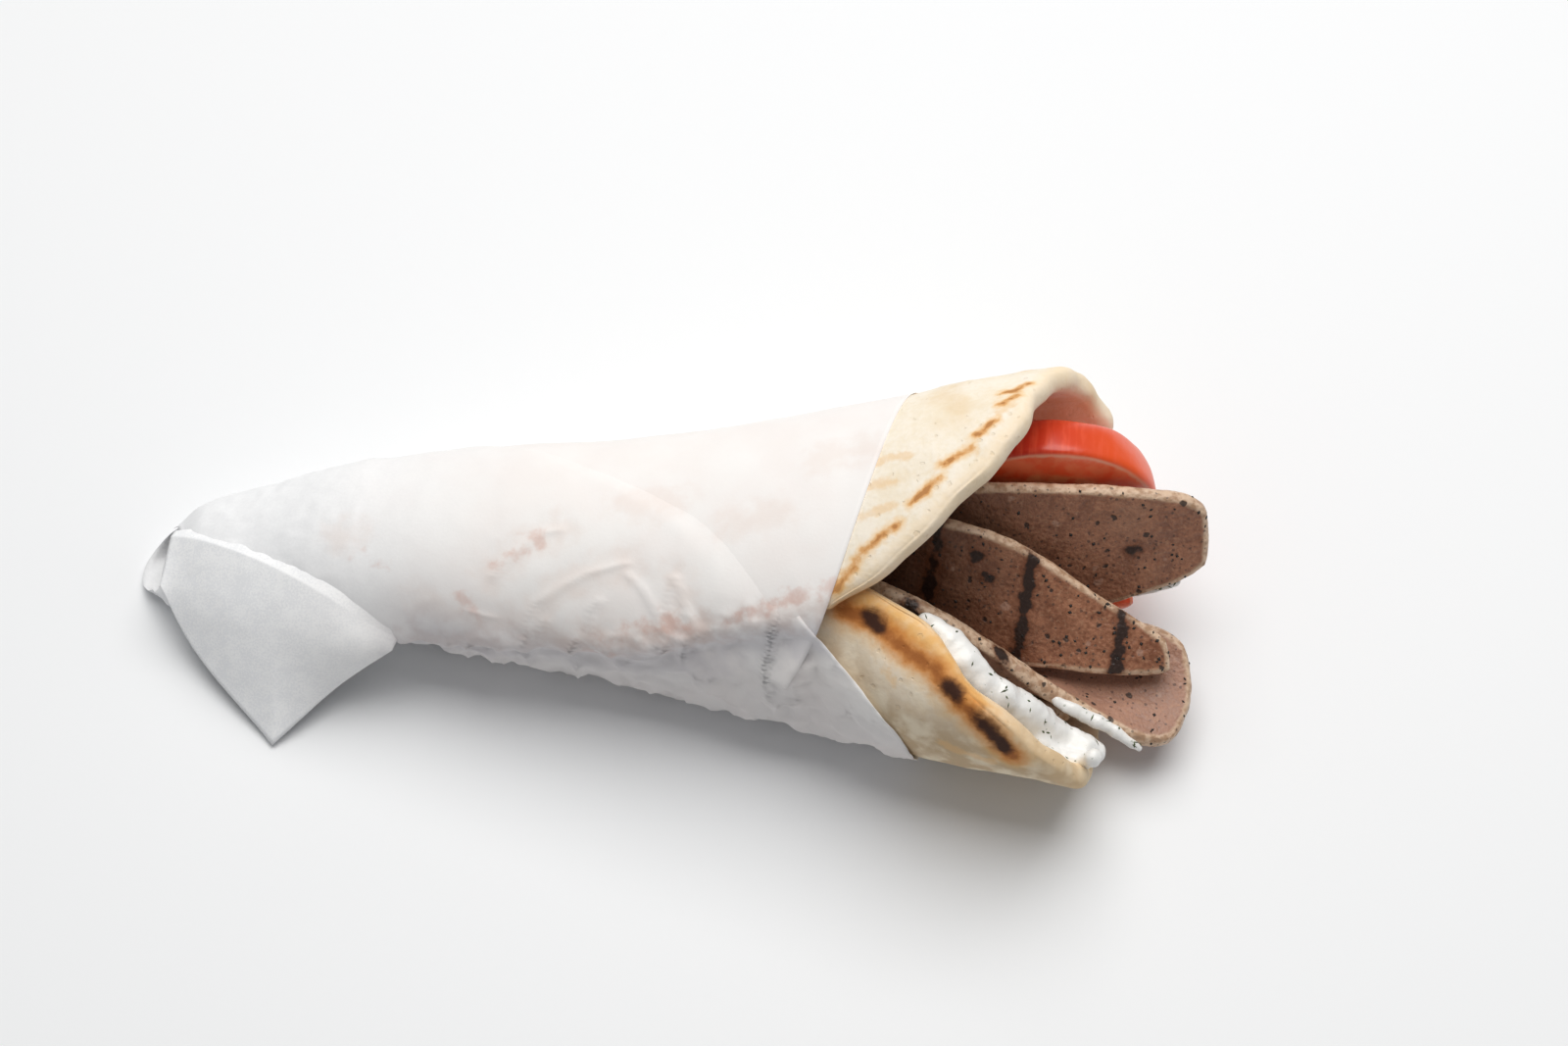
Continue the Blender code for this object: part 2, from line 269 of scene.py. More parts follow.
def specks(tree, size, share, seed=0.0):
    """Mask of scattered round specks about size mm apart; share is how much of the gap each one fills."""
    where = add(tree, "TexCoord").outputs["Object"]
    noisy = add(tree, "TexNoise", {"Vector": where, "Scale": 2.0 / (size * MM), "Detail": 2.0})
    bent = add(tree, "VectorMath", {0: noisy.outputs["Color"], "Scale": 0.45 * size * MM}, operation="SCALE")
    shifted = add(tree, "VectorMath", {0: where, 1: (seed, seed, seed)}).outputs[0]
    shifted = add(tree, "VectorMath", {0: shifted, 1: bent.outputs[0]}).outputs[0]
    cells = add(tree, "TexVoronoi", {"Vector": shifted, "Scale": 1.0 / (size * MM)})
    amount = add(tree, "SeparateColor", {0: cells.outputs["Color"]}).outputs[0]
    reach = sum_of(tree, "MULTIPLY", amount, share)
    return fade(tree, sum_of(tree, "SUBTRACT", reach, cells.outputs["Distance"]), -0.03, 0.05)


def new_finish(name, roughness, **constants):
    """A material with a Principled shader whose constants are set on its own sockets."""
    made = bpy.data.materials.new(name)
    made.use_nodes = True
    shader = made.node_tree.nodes["Principled BSDF"]
    shader.inputs["Roughness"].default_value = roughness
    for key, value in constants.items():
        shader.inputs[key.replace("_", " ")].default_value = value
    return made, made.node_tree, shader


def connect(tree, shader, colour, height, bump_mm, strength=1.0, rough=None):
    tree.links.new(colour, shader.inputs["Base Color"])
    bump = add(tree, "Bump", {"Height": height, "Distance": bump_mm * MM, "Strength": strength})
    tree.links.new(bump.outputs[0], shader.inputs["Normal"])
    if rough is not None:
        tree.links.new(rough, shader.inputs["Roughness"])


# %% The grain group
def build_grain():
    group = bpy.data.node_groups.new("food_grain", "ShaderNodeTree")
    for name, default in (("Broad scale", 100.0), ("Fine scale", 900.0), ("Fine share", 0.35)):
        socket = group.interface.new_socket(name, in_out="INPUT", socket_type="NodeSocketFloat")
        socket.default_value = default
    group.interface.new_socket("Grain", in_out="OUTPUT", socket_type="NodeSocketFloat")
    ends = group.nodes.new("NodeGroupInput"), group.nodes.new("NodeGroupOutput")
    where = add(group, "TexCoord").outputs["Object"]
    broad = add(group, "TexNoise", {"Vector": where, "Scale": ends[0].outputs[0], "Detail": 3.0}).outputs[0]
    fine = add(group, "TexNoise", {"Vector": where, "Scale": ends[0].outputs[1], "Detail": 2.0}).outputs[0]
    both = add(group, "Mix", {0: ends[0].outputs[2], 2: broad, 3: fine}).outputs[0]
    group.links.new(both, ends[1].inputs[0])
    return group


GRAIN = build_grain()


def grain(tree, broad_mm, fine_mm, fine_share):
    made = tree.nodes.new("ShaderNodeGroup")
    made.node_tree = GRAIN
    for key, value in enumerate((1.0 / (broad_mm * MM), 1.0 / (fine_mm * MM), fine_share)):
        made.inputs[key].default_value = value
    return made.outputs[0]


# %% [markdown]
# ## The flatbread
# The bread is one round flatbread, about 5 mm thick, rolled into a cone with its outer flap lapped over its
# own front edge. A grid bent round the roll, thickened by a Solidify modifier whose thickness fades at the
# edge, gives the soft puffed rim of real dough; a bevel would leave a machined edge. Low lumps follow, and
# the distances to the grill marks are stored at each vertex, because a mark has to stay where the griddle
# touched the bread and must not show on the inner side.

# %% Bread's shape
NOTCH, LIP_START, HIDDEN_LAP, FLAP_ADVANCE = 127.0, 110.0, 30.0, 44.0
TUCKED_UNTIL, TUCK_RUN = 310.0, 110.0
BREAD_TAIL_X, LIP_RELEASE = -74.0, (30.0, 52.0)
RIM = [(110.0, 31.0), (118.0, 40.0), (126.0, 47.0), (132.0, 53.0), (137.0, 56.6), (144.0, 58.8),
       (151.0, 61.1), (157.0, 65.4), (163.0, 70.2), (172.0, 76.0), (187.0, 83.0), (215.0, 88.0),
       (270.0, 89.0), (340.0, 87.0), (368.0, 82.0), (396.0, 73.5), (420.0, 68.5), (440.0, 61.5),
       (463.0, 49.0), (487.0, 34.0)]
RIM_WAVE = 0.5             # mm that the rim wanders in and out
RIM_CROWDING = 1.55        # how much closer the rows lie near the rim


def tucked_in(x, angle):
    """1 where the bread lies under its own flap, 0 where it has come out to the roll's own width."""
    tucked = smooth((TUCKED_UNTIL - angle) / TUCK_RUN)
    return tucked * (1.0 - ramp(LIP_RELEASE, x) * ramp((NOTCH, NOTCH + 40.0), angle))


def bread_place(u, v):
    round_it = LIP_START + (NOTCH + 360.0 - LIP_START) * u
    wave = RIM_WAVE * (np.sin(u * 61.0) + 0.7 * np.sin(u * 137.0 + 1.0))
    v = 1.0 - (1.0 - v) ** RIM_CROWDING
    x = BREAD_TAIL_X + (keyed(RIM, round_it) + wave - BREAD_TAIL_X) * v
    start, end = LIP_START - HIDDEN_LAP * (1.0 - v), NOTCH + 360.0 + FLAP_ADVANCE * (1.0 - v)
    angle = start + (end - start) * u
    lift = -BREAD / 2.0 - (BREAD + GAP) * tucked_in(x, angle)
    return on_roll(x, angle, lift, PAPER + 1.5 * GAP + BREAD / 2.0)


bread = grid_sheet("flatbread", 300, 90, bread_place)
note(bread, "from_rim", edge_distance(bread))
thicken(bread, BREAD, 2.4)
under_paper = 1.0 - 0.75 * ramp((58.0, 44.0), places_of(bread)[:, 0])
relief(bread, 13.0, 0.5, 1, 2, under_paper)
relief(bread, 3.2, 0.16, 2, 2, under_paper)
print("bread vertices:", len(bread.data.vertices))

# %% Grill marks on the bread
FLAP_MARKS = [
    [(62.7, 51.5), (65.2, 50.5), (67.4, 47.5)], [(62.3, 57.5), (64.0, 56.0), (65.6, 54.0)],
    [(58.2, 69.5), (59.6, 67.5), (61.5, 64.5)], [(52.5, 78.5), (54.8, 76.0), (57.8, 74.0)],
    [(47.0, 90.5), (49.2, 87.0), (51.8, 83.5)], [(34.0, 120.0), (35.7, 115.5), (37.3, 111.5)],
    [(37.4, 109.0), (40.3, 104.0), (42.7, 99.5), (45.2, 97.5)]]
FAINT_MARKS = [
    [(38.9, 74.5), (41.8, 73.0), (45.2, 73.5)], [(37.6, 84.5), (40.1, 82.5), (43.3, 82.5)],
    [(37.8, 94.5), (40.1, 92.5), (43.7, 91.0)], [(62.3, 61.0), (64.5, 59.0)], [(64.4, 30.0), (67.1, 30.0)],
    ]
LIP_SPOTS = [[(45.1, 149.8), (47.7, 153.5)], [(36.5, 158.8), (39.6, 159.8)], [(80.2, 179.5), (81.6, 180.0)],
             [(56.9, 176.0), (62.2, 179.0), (67.7, 182.5)]]
LIP_CHAR = [[(35.9, 127.8), (42.5, 132.0), (46.6, 137.8), (50.7, 142.2), (54.8, 146.0), (58.8, 152.8),
             (60.8, 155.8), (65.0, 161.5), (68.7, 168.8), (71.3, 175.5)]]
LIP_GOLD = [[(39.2, 121.2), (42.3, 126.0), (45.8, 130.2), (50.4, 134.2), (55.7, 138.5), (59.0, 146.0),
             (62.5, 153.0)]]
LIP_CORES = [[(41.2, 129.2), (43.1, 133.0)], [(57.7, 150.8), (59.3, 152.8)], [(64.3, 159.5), (66.8, 163.5),
             (69.4, 170.8)]]


def lip_lift(x, angle):
    return -(BREAD + GAP) * tucked_in(x, angle)


UNSEEN_MARKS = [   # the griddle's pattern carried round the back and underneath, where it can't be seen
    [(57.0, 15.0), (62.0, 11.0)], [(44.0, 28.0), (50.0, 24.0)], [(60.0, -14.0), (66.0, -18.0)],
    [(70.0, -30.0), (76.0, -34.0)], [(58.0, 205.0), (66.0, 210.0)], [(70.0, 225.0), (78.0, 232.0)],
    [(62.0, 245.0), (72.0, 250.0)], [(60.0, 300.0), (70.0, 306.0)]]
seen = places_of(bread)
note(bread, "mark", distance_to(seen, FLAP_MARKS + UNSEEN_MARKS))
note(bread, "faint_mark", np.minimum(distance_to(seen, FAINT_MARKS), distance_to(seen, LIP_SPOTS, lip_lift)))
note(bread, "lip_char", distance_to(seen, LIP_CHAR, lip_lift))
note(bread, "lip_gold", distance_to(seen, LIP_GOLD, lip_lift))
note(bread, "lip_core", distance_to(seen, LIP_CORES, lip_lift))
# the lower front of the bread, which its finish paints darker as painted shade
note(bread, "lower", ramp((6.0, -14.0), seen[:, 1]) * ramp((45.0, 32.0), seen[:, 2]))
print("grill marks:", len(FLAP_MARKS) + len(FAINT_MARKS) + len(LIP_CORES))

# %% [markdown]
# Griddled flatbread is pale cream where it never touched the metal, golden where it came near, and nearly
# black in the middle of a mark. Each mark is a distance turned into colour, with noise added to the distance,
# so that its outline breaks up as a real scorch does.

# %% Bread's finish
def bread_finish():
    made, tree, shader = new_finish("griddled_flatbread", 0.78, Specular_IOR_Level=0.3)
    clouds, fine = grain(tree, 9.0, 1.1, 0.35), cloud(tree, 2.2, 4.0)
    pores = specks(tree, 2.6, 0.22)
    # painted light and shade: the lit top is painted pale and the lower front lip, turned away from the light,
    # a darker tan; the mottling in each is the bread's own
    pale = blend(tree, fade(tree, clouds, 0.35, 0.65), (0.90, 0.79, 0.62), (0.95, 0.865, 0.74))
    painted_shade_tan = blend(tree, fade(tree, cloud(tree, 6.0, 5.0), 0.38, 0.62), (0.58, 0.43, 0.27), (0.84, 0.72, 0.54))
    base = blend(tree, stored(tree, "lower"), pale, painted_shade_tan)
    base = blend(tree, sum_of(tree, "MULTIPLY", pores, 0.18), base, (0.62, 0.44, 0.24))
    golden = fade(tree, cloud(tree, 15.0, 6.0), 0.56, 0.76, 0.0, 0.4)
    base = blend(tree, golden, base, (0.78, 0.54, 0.26))
    from_rim = sum_of(tree, "ADD", stored(tree, "from_rim"), sum_of(tree, "MULTIPLY", fine, 2.0))
    toasted = fade(tree, from_rim, 5.5, 1.5)
    base = blend(tree, sum_of(tree, "MULTIPLY", toasted, 0.36), base, (0.95, 0.68, 0.38))
    wander = sum_of(tree, "MULTIPLY", sum_of(tree, "SUBTRACT", fine, 0.5), 2.6)
    patchy = fade(tree, cloud(tree, 3.2, 4.0), 0.34, 0.6, 0.5, 1.0)
    for name, reach, strength, colour in (
            ("faint_mark", 1.6, 0.45, (0.84, 0.52, 0.22)), ("mark", 2.3, 0.62, (0.88, 0.52, 0.18)),
            ("mark", 1.15, 0.80, (0.66, 0.29, 0.07)), ("mark", 0.4, 0.5, (0.32, 0.10, 0.02)),
            ("lip_gold", 7.0, 0.62, (0.87, 0.56, 0.22)), ("lip_gold", 4.0, 0.62, (0.84, 0.42, 0.10)),
            ("lip_char", 6.4, 0.62, (0.84, 0.47, 0.15)), ("lip_char", 4.0, 0.85, (0.64, 0.22, 0.035)),
            ("lip_char", 1.9, 0.7, (0.28, 0.075, 0.014)), ("lip_core", 2.8, 0.95, (0.035, 0.012, 0.008))):
        away = sum_of(tree, "ADD", stored(tree, name), wander)
        mask = fade(tree, away, reach, reach * 0.25, 0.0, strength)
        if name == "lip_gold":
            mask = sum_of(tree, "MULTIPLY", mask, patchy)
        base = blend(tree, mask, base, colour)
    height = sum_of(tree, "SUBTRACT", clouds, sum_of(tree, "MULTIPLY", pores, 0.4))
    connect(tree, shader, base, height, 0.5, 0.6)
    return made


finish_piece(bread, bread_finish(), "bread", "bread")

# %% [markdown]
# ## The paper
# One sheet of thin white paper, about a tenth of a millimetre thick, wound a turn and a third round the
# bread. It clings to the roll, dips where the bread's flap ends underneath, creases there, and closes into
# an empty tube at the tail. Cloth simulation could crumple it, but the creases have to lie in known places,
# so they are drawn: long smooth folds as ridges along lines, and small crumples as ridged noise.

# %% Paper's shape
TAIL_WIDTH = [(-113.0, 7.0), (-100.0, 11.0), (-84.0, 14.5), (-66.0, 19.0)]
TAIL_HEIGHT = [(-113.0, 5.0), (-100.0, 8.0), (-84.0, 11.0), (-66.0, 15.2)]
TAIL_SHIFT = [(-113.0, -3.5), (-100.0, -2.0), (-84.0, -0.6), (-66.0, 0.0)]
TAIL_BLEND = (-82.0, -58.0)
TAIL_END, TAIL_SLANT = -109.5, 4.5   # where the open tail ends, and how far its top is pulled back
LAYER_CHANGE = (215.0, 325.0)        # angles over which it goes from the outer layer to the inner
PAPER_EDGE = [(20.0, -44.0), (61.0, -19.0), (99.0, 12.0), (137.0, 31.0), (179.0, 49.5), (230.0, 54.0),
              (278.0, 55.6), (330.0, 52.0), (397.0, 44.0), (453.0, 37.0), (498.0, 31.0), (525.0, 26.0)]
SNUG_LIFTS = (1.55, 0.85)            # of the outer and inner layer over the bread's skin
FLAP_LINE = [(-74.0, 176.0), (-51.0, 168.0), (-34.0, 161.0), (-7.0, 151.0), (13.0, 136.5), (25.0, 130.0),
             (34.0, 127.0)]
DIP = 3.4                            # how far the paper sinks past the flap's hidden edge
SHEET = 0.12                         # thickness
TAIL_CURL = 2.6                      # how far the tail's end curls in on itself
CROWDED = [(0.0, 20.0), (0.14, 88.0), (0.55, 200.0), (1.0, 525.0)]   # more columns where it is crumpled


def on_paper(x, angle, lift, lowest=0.4):
    """Points lift mm outside the bread's skin, or outside the narrower empty tail past the bread."""
    full = on_roll(x, angle, lift, lowest)
    wide, tall, turn = keyed(TAIL_WIDTH, x) + lift, keyed(TAIL_HEIGHT, x), np.radians(angle)
    z = np.maximum(tall + (tall + lift) * np.sin(turn), lowest + 0.6)
    loose = np.stack([x, keyed(TAIL_SHIFT, x) + wide * np.cos(turn), z], -1)
    share = ramp(TAIL_BLEND, x)[..., None]
    return loose + (full - loose) * share


CREASES = [   # height in mm, width in mm, then (station, angle) marks
    (0.9, 1.3, [(-34.6, 124), (-31.6, 115), (-28.8, 108.5), (-25.2, 102), (-22.1, 100.5)]),
    (0.6, 1.0, [(-38.8, 142.5), (-33.6, 144.5)]),
    (1.0, 1.3, [(-27.2, 148.5), (-25.1, 134.5), (-20.1, 125.5), (-15.4, 119), (-7.8, 113.5)]),
    (0.9, 1.0, [(-25.3, 163), (-24, 147), (-23.3, 142.5)]),
    (1.1, 1.2, [(-17, 190), (-14.3, 152), (-13.9, 134.5), (-12.5, 130.5)]),
    (0.8, 1.0, [(-21.4, 172.5), (-16.3, 150)]),
    (1.0, 1.2, [(-7.5, 118), (-4.3, 123.5), (-1.3, 131.5), (0.6, 140)]),
    (0.7, 0.9, [(1.1, 133), (2, 118.5)]),
    (1.1, 1.2, [(2.4, 118.5), (5, 130), (7.7, 138)]),
    (1.0, 1.2, [(5.1, 132.5), (8.5, 146.5), (11.1, 167.5)]),
    (0.9, 1.1, [(19.8, 162.5), (23.2, 142.5), (24.8, 134)]),
    (1.0, 1.2, [(12.2, 137), (17.6, 153), (23.9, 181)]),
    (0.8, 1.0, [(-6.2, 157.5), (-6.1, 190)]),
    (0.8, 1.0, [(28.5, 153.5), (24.5, 185)])]


SECOND_TURN = 340.0                  # past this angle the sheet runs on under its own outer end


def crumpled(x, angle):
    """How far the wrapped paper stands off its snug place: dip, undulations, crumples and creases."""
    turned = np.where(angle > SECOND_TURN, angle - 360.0, angle)
    past = turned - keyed(FLAP_LINE, x)
    below = ramp((0.0, 15.0), past) * (1.0 - ramp((40.0, 100.0), past))
    depth = DIP + (4.9 * tucked_in(x, turned) - DIP) * ramp((22.0, 34.0), x)
    zone = ramp((-16.0, 10.0), past) * (1.0 - ramp((70.0, 120.0), past))
    tail = 1.0 - ramp((-80.0, -56.0), x)
    snug = on_roll(x, angle)
    flat = np.stack([x, snug[:, 1], snug[:, 2]], -1)
    soft = swirl(flat, 26.0, 5, 2)
    ridged = 1.0 - 2.2 * np.abs(swirl(flat * (1.0, 0.6, 0.6), 10.0, 6, 3))
    fine = 1.0 - 2.2 * np.abs(swirl(flat, 5.0, 7, 2))
    lift = 0.35 * soft - depth * below * (1.0 + 0.15 * soft)
    sharp = np.clip(ridged, 0.0, 1.0) ** 2
    lift += (0.08 + 0.45 * zone + 0.20 * tail) * (ridged - 0.4) + (0.30 * zone + 0.10 * tail) * (fine - 0.4)
    lift += 0.9 * zone * (sharp - 0.3)
    for height, width, marks in CREASES:
        away = distance_to(flat, [marks])
        lift += height * (0.55 * np.exp(-away / (0.8 * width)) - 0.30 * np.exp(-(away / (2.6 * width)) ** 2))
    return lift


def paper_place(u, v):
    angle = keyed(CROWDED, u)
    tail_end = TAIL_END + TAIL_SLANT * np.sin(np.radians(angle))
    x = tail_end + (keyed(PAPER_EDGE, angle) - tail_end) * v
    outer, inner = SNUG_LIFTS
    lift = (outer + (inner - outer) * ramp(LAYER_CHANGE, angle)) * (1.0 - 0.62 * ramp((0.9, 1.0), v))
    lift = lift - TAIL_CURL * ramp((7.0, 0.0), x - tail_end) ** 2
    # the crumples are calmer at the tail's end and at the cut edge
    share = ramp((-116.0, -96.0), x) * (1.0 - 0.6 * ramp((0.94, 1.0), v))
    return on_paper(x, angle, lift + crumpled(x, angle) * share)


paper = grid_sheet("wrapping_paper", 310, 130, paper_place)
use(paper, "SOLIDIFY", thickness=SHEET * MM, offset=0.0)
print("paper vertices:", len(paper.data.vertices))

# %% [markdown]
# The sheet's loose corner hangs over the tail. It is a second small grid: a strip that climbs from the tube
# to a fold, and past the fold a flat corner that comes down to a point on the table. Joined to the wrap, the
# two make one sheet of paper.

# %% The loose corner
FLAP_FOLD = [(-106.0, 86.0), (-94.0, 106.0), (-82.0, 124.0), (-70.0, 142.0), (-54.0, 168.0)]
FOLD_RISE = [(-106.0, 0.7), (-94.0, 1.2), (-82.0, 1.5), (-70.0, 1.3), (-54.0, 0.6)]
CORNER_LEFT = [(-106.7, -11.8, 12.6), (-98.0, -22.8, 5.6), (-79.0, -40.0, 0.9)]
CORNER_RIGHT = [(-79.0, -40.0, 0.9), (-66.5, -28.0, 7.5), (-55.0, -24.2, 18.0)]
STRIP = 0.12               # share of the grid behind the fold
CORNER_BULGE = 1.6


def corner_place(u, v):
    x = FLAP_FOLD[0][0] + (FLAP_FOLD[-1][0] - FLAP_FOLD[0][0]) * u
    angle = keyed(FLAP_FOLD, x)
    fold = on_paper(x, angle, 1.5 + keyed(FOLD_RISE, x))
    rooted = on_paper(x, angle - 15.0, 0.6)
    front = np.clip((v - STRIP) / (1.0 - STRIP), 0.0, 1.0)[:, None]
    behind = np.clip((STRIP - v) / STRIP, 0.0, 1.0)[:, None]
    free = np.where(u[:, None] < 0.5, through(CORNER_LEFT, 2.0 * u), through(CORNER_RIGHT, 2.0 * u - 1.0))
    share = u[:, None]
    left, tip, right = (np.array(corner) for corner in (CORNER_LEFT[0], CORNER_RIGHT[0], CORNER_RIGHT[-1]))
    soft = left * (1.0 - share) ** 2 + 2.0 * share * (1.0 - share) * tip + right * share ** 2
    place = fold + (soft - fold) * front + (free - soft) * front ** 5 + (rooted - fold) * smooth(behind)
    bulge = CORNER_BULGE * np.sin(np.pi * u) * np.sin(np.pi * front[:, 0])
    return place + np.stack([0.0 * u, -bulge, bulge], -1)


corner = grid_sheet("loose_corner", 80, 70, corner_place)
relief(corner, 16.0, 0.25, 9, 3)
# marks the loose corner, which the finish paints lighter as painted light
note(corner, "free", np.ones(len(corner.data.vertices)))
use(corner, "SOLIDIFY", thickness=SHEET * MM, offset=0.0)
bpy.ops.object.select_all(action="DESELECT")
for part in (corner, paper):
    part.select_set(True)
bpy.context.view_layer.objects.active = paper
bpy.ops.object.join()
print("paper with its loose corner:", len(paper.data.vertices), "vertices")

# %% What shows through the paper, and painted shade below the flap's edge
SHOWS_RED = [[(24.2, 124), (29.9, 121.5), (33.6, 119)], [(14, 134.5), (19.6, 129), (24.3, 125)],
             [(-33.0, 119.0), (-28.8, 109), (-25.5, 103.0)], [(-62.0, 117.0), (-59.3, 119.5), (-56.5, 122.0)],
             [(-13.2, 157.5), (-6.5, 142), (5.3, 137.5)], [(-41, 136.5), (-36.7, 142.5)]]
SHOWS_WARM = [[(-34.6, 124), (-28.8, 108.5), (-22.1, 100.5)], [(-27.2, 148.5), (-20.1, 125.5), (-7.8, 113.5)],
              [(2.4, 118.5), (7.7, 138)], [(-48.0, 140.0), (-36.0, 146.0), (-20.0, 150.0), (0.0, 145.0)],
              [(-68.0, 104.0), (-66.3, 105), (-64.0, 106.0)], [(12.0, 96.0), (22.0, 92.0)],
              [(-10.0, 88.0), (0.0, 86.0)], [(28.0, 70.0), (38.0, 66.0)]]
SHOWS_BROWN = [[(x, angle - 1.0) for x, angle in FLAP_LINE[1:]]]
# painted shade: grey lines just below the flap's hidden edge, where the paper dips into a hollow
PAINTED_SHADE_LINES = [[(x, angle + 11.0) for x, angle in FLAP_LINE[1:]],
              [(-46.0, 164.0), (-36.0, 166.0), (-26.0, 164.0)], [(14.0, 146.0), (24.0, 141.0), (30.0, 138.0)],
              [(-20.0, 168.0), (-4.0, 165.0), (10.0, 160.0)]]
seen = places_of(paper)
for name, strokes in (("shows_red", SHOWS_RED), ("shows_warm", SHOWS_WARM),
                      ("painted_shade_grey", PAINTED_SHADE_LINES), ("shows_brown", SHOWS_BROWN)):
    note(paper, name, distance_to(seen, strokes))
low_front = ramp((-6.0, -20.0), seen[:, 1]) * ramp((36.0, 24.0), seen[:, 2])
note(paper, "slack", low_front * ramp((-62.0, -48.0), seen[:, 0]))
over_bread = ramp((-86.0, -22.0), seen[:, 0])
note(paper, "over_bread", over_bread)

# %% [markdown]
# Thin paper over bread isn't one white. Where it touches the bread it is warm, where fat or sauce has reached
# it there are pink and brown clouds, and where it stands free it is a cool white with a fibre grain. A grey
# band just below the flap's hidden edge is painted shade, where the paper dips into a hollow, the hollows
# between its crumples at the low front are painted darker for shade, and the loose corner is painted lighter
# for light coming through it.
# The tints are painted into the surface, because real translucency is slow to render and lost in an export.

# %% Paper's finish
def paper_finish():
    made, tree, shader = new_finish("thin_white_paper", 0.6, Specular_IOR_Level=0.35)
    fibres = grain(tree, 3.0, 0.6, 0.55)
    white = blend(tree, fade(tree, fibres, 0.3, 0.7), (0.90, 0.90, 0.91), (0.955, 0.955, 0.96))
    # painted light: the loose corner's white is painted lighter than the wrap's, for the light that comes
    # through the thin sheet from behind
    mottled = fade(tree, grain(tree, 3.5, 0.45, 0.6), 0.40, 0.60)
    free = blend(tree, mottled, (0.91, 0.915, 0.93), (1.0, 1.0, 1.0))
    white = blend(tree, stored(tree, "free"), white, free)
    warmth = fade(tree, cloud(tree, 14.0, 4.0), 0.3, 0.7)
    warm = blend(tree, warmth, (0.93, 0.875, 0.845), (0.95, 0.92, 0.895))
    colour = blend(tree, stored(tree, "over_bread"), white, warm)
    wander = sum_of(tree, "MULTIPLY", sum_of(tree, "SUBTRACT", cloud(tree, 3.5, 5.0), 0.5), 9.0)
    for name, reach, strength, tint in (
            ("painted_shade_grey", 8.5, 0.38, (0.46, 0.46, 0.54)), ("shows_brown", 5.0, 0.42, (0.58, 0.41, 0.34)),
            ("shows_warm", 6.0, 0.24, (0.80, 0.60, 0.50)), ("shows_red", 2.6, 0.40, (0.66, 0.33, 0.24))):
        away = sum_of(tree, "ADD", stored(tree, name), wander)
        colour = blend(tree, fade(tree, away, reach, 0.0, 0.0, strength), colour, tint)
    where = add(tree, "TexCoord").outputs["Object"]
    folds = add(tree, "TexNoise", {"Vector": where, "Scale": 120.0, "Detail": 4.0, "Distortion": 0.8},
                noise_type="RIDGED_MULTIFRACTAL").outputs[0]
    # painted shade: in the slack paper at the low front, the hollows between the ridged folds are painted
    # darker grey
    painted_crease_shade = sum_of(tree, "MULTIPLY", fade(tree, folds, 0.4, 1.3, 0.45, 0.0), stored(tree, "slack"))
    colour = blend(tree, painted_crease_shade, colour, (0.62, 0.58, 0.58))
    folds = sum_of(tree, "MULTIPLY", folds, stored(tree, "slack"))
    height = sum_of(tree, "ADD", sum_of(tree, "MULTIPLY", fibres, 0.12), folds)
    connect(tree, shader, colour, height, 0.55, 0.6)
    return made


finish_piece(paper, paper_finish(), "paper", "paper_wrap")

# %% [markdown]
# ## The slices of gyro meat
# Pressed gyro meat is shaved from a cone: each slice is an even 3.6 mm, smooth and mauve-brown on its cut
# faces, tan and crusted along its edge, and full of pepper. A slice hangs between three lines, so a grid
# bent through them gives its curl, and the same soft-edged thickening as the bread gives it its rim.

# %% Slices' shapes
MEAT, MEAT_ROUND, SLICE_END, SLICE_END_WIDTH = 3.6, 1.3, 0.06, 0.62
MEAT_SLICES = {
    "back": [
        ((-18, 7.5, 25), (-18, 7.2, 17), (-18, 7, 9.5)),
        ((8, 11, 32), (8, 8.5, 21), (8, 6, 10)),
        ((34, 13.5, 37), (34, 8.6, 24), (34, 4.5, 10.5)),
        ((52, 15, 39.5), (52, 8.6, 26), (52, 3, 11.5)),
        ((70, 16.5, 40.5), (70, 9.2, 27), (70, 2.6, 13)),
        ((88, 18, 40), (88, 11.5, 28.5), (88, 4.8, 16)),
        ((105, 19, 38), (107, 14.6, 30), (107, 9.8, 23))],
    "grilled": [
        ((-18, 2.8, 26), (-18, 2.4, 17), (-18, 2.2, 9.5)),
        ((8, 5, 33), (8, 2.8, 21), (8, 1, 10)),
        ((34, 7, 38), (34, 2.4, 24), (34, -1.5, 11)),
        ((52, 7.5, 39), (52, -0.4, 26), (52, -7, 13.4)),
        ((68, 5.8, 35.5), (68, -3.2, 25), (68, -11, 15.6)),
        ((84, 1.2, 27.3), (84, -6, 21.6), (84, -12, 16.4)),
        ((99.5, -3.6, 19.5), (101.5, -7.0, 17.6), (102.0, -10.4, 15.2))],
    "curled": [
        ((-18, -2, 25), (-18, -2.3, 17), (-18, -2.4, 9.5)),
        ((8, -1, 32), (8, -2.8, 21), (8, -4, 10)),
        ((34, -6, 37), (34, -8, 23.5), (34, -6, 10.5)),
        ((50, -11, 36.5), (50, -12, 22), (50, -10, 10)),
        ((66, -15.2, 29), (66, -15.5, 15.5), (66, -8, 9.7)),
        ((82, -19.8, 16.4), (82, -11, 10.8), (82, 1, 12)),
        ((101, -26, 10.5), (107, -12.5, 10), (103, 2, 14.6))],
    "front": [
        ((-12, -7, 22), (-12, -7, 15.5), (-12, -7, 9.5)),
        ((8, -7.5, 29.5), (8, -8.6, 19.5), (8, -8.4, 10.4)),
        ((34, -12, 31), (34, -13.2, 20), (34, -10.8, 10.6)),
        ((50, -14.6, 29.5), (50, -16.2, 19), (50, -13.6, 10)),
        ((62, -17.4, 22.5), (62, -17.6, 15), (62, -14.6, 9)),
        ((73, -19.0, 14.5), (73, -18.2, 11), (73, -15.6, 8.8)),
        ((83, -20.0, 10.6), (83, -18.6, 9.8), (83, -17.4, 9.2))]}


